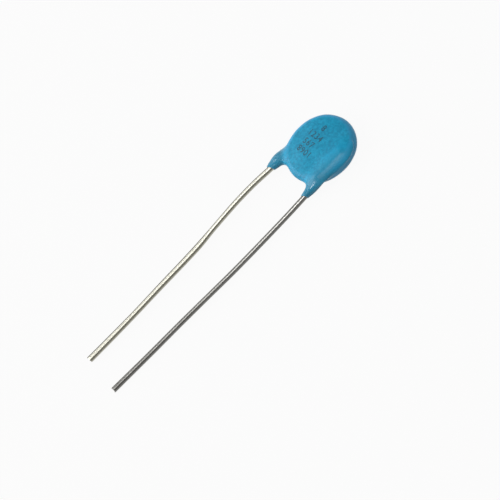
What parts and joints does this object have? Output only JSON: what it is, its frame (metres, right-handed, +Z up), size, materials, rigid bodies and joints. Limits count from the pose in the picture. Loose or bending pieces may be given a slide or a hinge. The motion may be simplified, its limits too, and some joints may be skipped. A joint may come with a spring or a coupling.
{
  "type": "ceramic disc capacitor",
  "caption": "Radial-leaded ceramic disc capacitor: a round epoxy-dipped body whose coating runs a little way down long straight tinned wire leads, for through-hole soldering.",
  "frame": {"origin": "middle of the part's box, at the level of the surface it lies on", "axes": "+Y from the lead tips towards the body, +Z up out of the face that looks upwards, +X from the back lead towards the front lead"},
  "size_m": [0.0078, 0.0382, 0.0022],
  "materials": {
    "ceramic": "fired barium titanate, matte",
    "silver": "fired silver paste, matte",
    "solder": "dull solder",
    "tinned_wire": "bright tinned copper wire, lightly drawn",
    "epoxy": "semi-gloss dipped epoxy, slightly mottled"
  },
  "bodies": {
    "root": {"ceramic_disc": "ceramic", "electrode_front": "silver", "electrode_back": "silver", "solder_front": "solder", "solder_back": "solder", "lead_front": "tinned_wire", "lead_back": "tinned_wire", "coating": "epoxy"}
  },
  "joints": []
}
